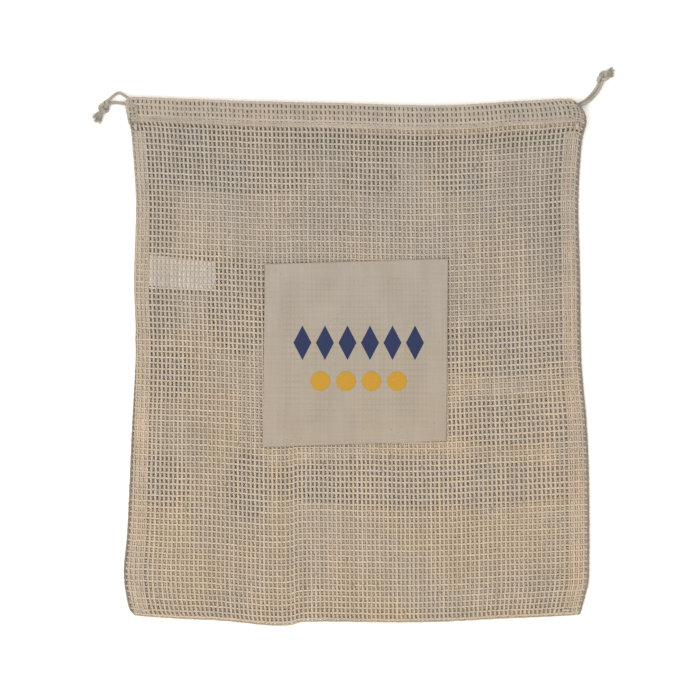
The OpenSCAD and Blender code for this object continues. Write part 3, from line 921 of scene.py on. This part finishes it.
def bartack(name, centre, along, length, width, materials, node, body, r=0.19, passes=15):
    """A dense zigzag of thread over two straight core threads."""
    t = np.linspace(0, 1, passes * 2 + 1)
    along = np.asarray(along, float)
    across = np.array((-along[1], along[0], 0))
    zig = (centre + along * ((t - 0.5) * length)[:, None]
           + across * (np.where(np.arange(len(t)) % 2, 0.5, -0.5) * width)[:, None]
           + np.array((0, 0, 0.22)))
    zig[:, 2] -= 0.14 * (np.arange(len(t)) % 2)
    core = [centre + along * (np.array([-0.5, -0.17, 0.17, 0.5])[:, None] * length) + across * o for o in (-0.5, 0.5)]
    made = piece(name, [tubes_part(tube(even(zig, 0.35), r, 5))] + [tubes_part(tube(even(c, 0.5), r, 5)) for c in core],
                 materials, body, [node] if node else ())
    return made


for side in ("left", "right"):
    parts = (rolled_edge(side, front, ROWS - 3.6, ROWS - 0.1, 1, ((0, 0.55), (-0.55, 0.25), (0.3, 0.1)), 1.05)
             + rolled_edge(side, back, ROWS - 3.6, ROWS - 0.1, 4, ((0, -0.2), (-0.55, -0.25), (0.3, -0.25)), 0.8)
             + mouth_layer(side, front, 0.62, ROWS - 3.9, ROWS + 0.05, 61)
             + mouth_layer(side, back, -0.15, ROWS - 3.9, ROWS + 0.05, 64))
    # On the right, the mouth's rolled edges take the darker edge yarn: painted shade on the side away from the key lamp
    if side == "right":
        parts = [(points, faces, 2 if k < 6 else slot) for k, (points, faces, slot) in enumerate(parts)]
    piece(f"{side}_mouth_edge", parts, [WARP, WEFT, EDGE_SHADE], f"{side}_mouth", [f"{side}_mouth_hem"])
    low, high = (np.array(v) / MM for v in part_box(f"{side}_mouth_bartack"))
    bartack(f"{side}_mouth_tack", (low + high) / 2 + np.array((0, 0, 0.25)), (0, 1, 0), high[1] - low[1], 2.2,
            [THREAD], f"{side}_mouth_bartack", f"{side}_mouth")

low, high = (np.array(v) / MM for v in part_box("seam_end_bartacks"))
for side, x in (("left", low[0] + 2.5), ("right", high[0] - 2.5)):
    bartack(f"{side}_seam_tack", np.array((x, (low[1] + high[1]) / 2, high[2] + 0.35)), (1, 0, 0), 5, 1.5,
            [THREAD], "seam_end_bartacks", "root", passes=13)

# ---------------------------------------------------------------- patch, print and label

def quad_grid(corners, n, m):
    """Plan points over a four-cornered shape, its corners given low left, low right, high right, high left."""
    a, b, c, d = (np.asarray(p, float) for p in corners)
    u, t = np.linspace(0, 1, n)[:, None, None], np.linspace(0, 1, m)[None, :, None]
    return (1 - u) * (1 - t) * a + u * (1 - t) * b + u * t * c + (1 - u) * t * d


def disc_grid(x, y, r, n):
    """Plan points over a disc."""
    u = np.linspace(-1, 1, n)
    a, b = np.meshgrid(u, u, indexing="ij")
    return np.stack([x + r * a * np.sqrt(1 - b * b / 2), y + r * b * np.sqrt(1 - a * a / 2)], -1)


def slab(grid, top, thick, slot=0):
    """A part for a thin closed sheet over plan points (n, m, 2), its upper face at height top(x, y)."""
    n, m = grid.shape[:2]
    z = top(grid[..., 0], grid[..., 1])
    upper = np.concatenate([grid, z[..., None]], -1).reshape(-1, 3)
    lower = upper - np.array((0, 0, thick))
    index = np.arange(n * m).reshape(n, m)
    up = np.stack([index[:-1, :-1], index[1:, :-1], index[1:, 1:], index[:-1, 1:]], -1).reshape(-1, 4)
    rim = np.concatenate([index[:-1, 0], index[-1, :-1], index[:0:-1, -1], index[0, :0:-1]])
    after = np.roll(rim, -1)
    side = np.stack([rim + n * m, after + n * m, after, rim], -1)
    return np.vstack([upper, lower]), [up, up[:, ::-1] + n * m, side], slot


def edge_distance(x, y, corners):
    """Distance inside a four-cornered shape from its nearest edge."""
    corners = np.asarray(corners, float)
    best = np.full(np.shape(x), 1e9)
    for a, b in zip(corners, np.roll(corners, -1, axis=0)):
        along = (b - a) / np.linalg.norm(b - a)
        best = np.minimum(best, (x - a[0]) * -along[1] + (y - a[1]) * along[0])
    return best


PATCH_TOP = FRONT_Z + 1.2


def patch_top(x, y):
    """The patch's upper face: a doubled edge, the net showing faintly through, and a slack middle."""
    inside = edge_distance(x, y, PATCH)
    hem = 0.28 * (1 - step_up(inside, PATCH_HEM - 1.2, PATCH_HEM + 0.6))
    roll = 0.3 * (1 - step_up(inside, -0.2, 0.9))
    stitched = 0.16 * np.exp(-((inside - 2) / 0.7) ** 2)
    imprint = 0.035 * (np.cos(2 * math.pi * x / 2.85) + np.cos(2 * math.pi * y / 3.8))
    slack = 0.16 * wander(x, y, 34, 77) * step_up(inside, 3, 16)
    return PATCH_TOP + hem - roll - stitched + imprint + slack


def inset(corners, by):
    """The corners of a four-cornered shape moved in from its edges."""
    p = np.asarray(corners, float)
    after, before = np.roll(p, -1, axis=0) - p, np.roll(p, 1, axis=0) - p
    unit = lambda v: v / np.linalg.norm(v, axis=1, keepdims=True)
    return p + by * (unit(after) + unit(before))


patch = piece("patch_cloth", [slab(quad_grid(PATCH, 170, 170), patch_top, 0.34)], [CALICO], "root",
              ["patch"])
outer, inner = inset(PATCH, 0.25), inset(PATCH, PATCH_HEM)
hem_parts = [slab(quad_grid((outer[k], outer[(k + 1) % 4], inner[(k + 1) % 4], inner[k]), 60, 8),
                  lambda x, y: patch_top(x, y) - 0.36, 0.28) for k in range(4)]
patch_hem = piece("patch_turned_hem", hem_parts, [CALICO_EDGE], "root", ["patch_hem"])

ring = inset(PATCH, 2.0)
path = even(np.vstack([ring, ring[:1]]), 0.4)
path = np.column_stack([path, patch_top(path[:, 0], path[:, 1])])
patch_thread = stitch_run("patch_thread", path, (0, 0, 1), 2.2, 0.55, 0.16, THREAD, "patch_stitching", lift=0.3)
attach(patch_thread, "root")


def printed(x, y):
    return patch_top(x, y) + 0.07


lozenges = [quad_grid(((x, 1), (x + 6, 12.5), (x, 24), (x - 6, 12.5)), 16, 16)
            for x in MOTIF_X + 15 * (np.arange(6) - 2.5)]
discs = [disc_grid(x, -13, 6.5, 17) for x in MOTIF_X + 17 * (np.arange(4) - 1.5)]
navy = piece("print_lozenges", [slab(g, printed, 0.12) for g in lozenges], [NAVY], "root", ["print_navy"])
ochre = piece("print_dots", [slab(g, printed, 0.12) for g in discs], [OCHRE], "root", ["print_ochre"])


def label_top(x, y):
    return 2.35 + 0.1 * wander(x, y, 22, 83)


label = piece("woven_label", [slab(quad_grid(LABEL, 60, 28), label_top, 0.16)], [TAPE], None,
              ["care_label"])
gather(label)
